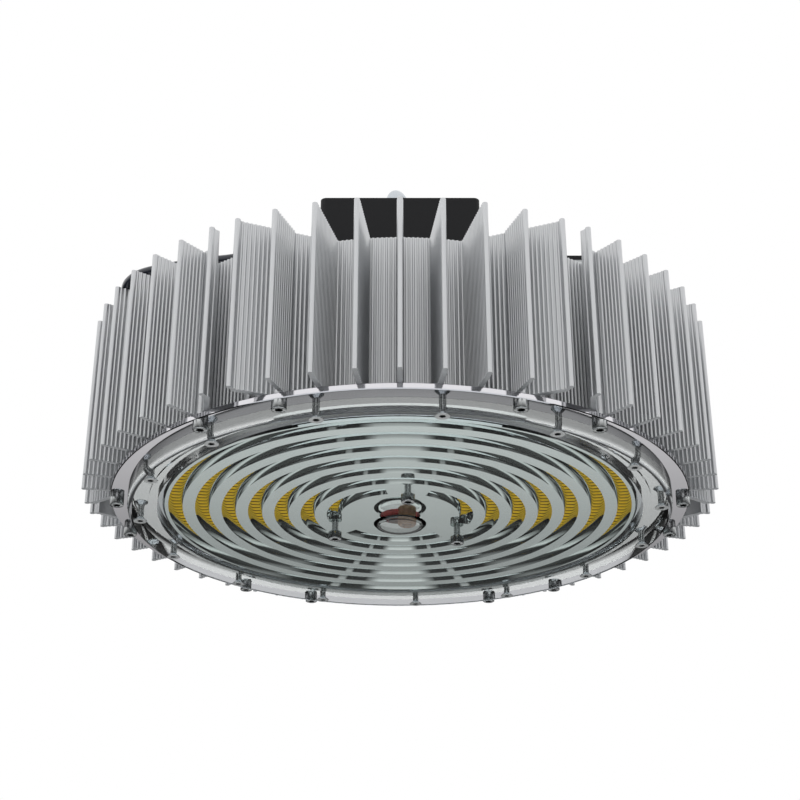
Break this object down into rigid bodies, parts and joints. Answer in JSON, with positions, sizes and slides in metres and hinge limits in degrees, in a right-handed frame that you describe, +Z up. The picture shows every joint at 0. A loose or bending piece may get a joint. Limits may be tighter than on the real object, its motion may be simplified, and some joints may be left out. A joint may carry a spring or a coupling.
{
  "type": "high bay light",
  "caption": "Round hung high bay light: a ring of extruded finned heat sinks round a downward lamp face of concentric LED channels under a clear cover.",
  "frame": {"origin": "centre of the suspension eye's hole", "axes": "+Z up through the eye, the lamp face looks down -Z, -Y is the side with the middle of a heat sink segment facing the viewer, +X to that viewer's right"},
  "size_m": [0.3996, 0.4, 0.2523],
  "materials": {
    "fins": "satin, as extruded",
    "base": "turned and polished",
    "reflector": "mirror",
    "led": "silicone over phosphor",
    "gasket": "matte",
    "cover": "clear",
    "screws": "stainless",
    "window": "clear",
    "board": "circuit board",
    "sensor": "gloss",
    "pillar": "turned",
    "tray": "satin light grey",
    "driver": "satin",
    "black_steel": "fine texture black",
    "zinc": "zinc plated",
    "gland": "moulded nylon",
    "lead": "smooth"
  },
  "bodies": {
    "root": {"heatsink_segment_1": "fins", "heatsink_segment_2": "fins", "heatsink_segment_3": "fins", "heatsink_segment_4": "fins", "heatsink_segment_5": "fins", "heatsink_segment_6": "fins", "base_plate": "base", "reflector": "reflector", "led_ring_1": "led", "led_ring_2": "led", "led_ring_3": "led", "led_ring_4": "led", "led_ring_5": "led", "led_ring_6": "led", "led_ring_7": "led", "cover_gasket": "gasket", "clear_cover": "cover", "outer_screws": "screws", "inner_screws": "screws", "centre_screws": "screws", "sensor_window": "window", "sensor_board": "board", "sensor_eye": "sensor", "pillars": "pillar", "pillar_screws": "screws", "driver_tray": "tray", "driver_1": "driver", "driver_2": "driver", "top_plate": "black_steel", "terminal_box": "black_steel", "box_lid": "black_steel", "lid_screws": "screws", "box_screws": "screws", "plate_screws": "screws", "eyebolt": "zinc", "eyebolt_nut": "zinc", "box_gland": "gland", "tray_gland": "gland", "gland_nuts": "gland", "driver_screws": "screws", "link_lead": "lead"}
  },
  "joints": []
}
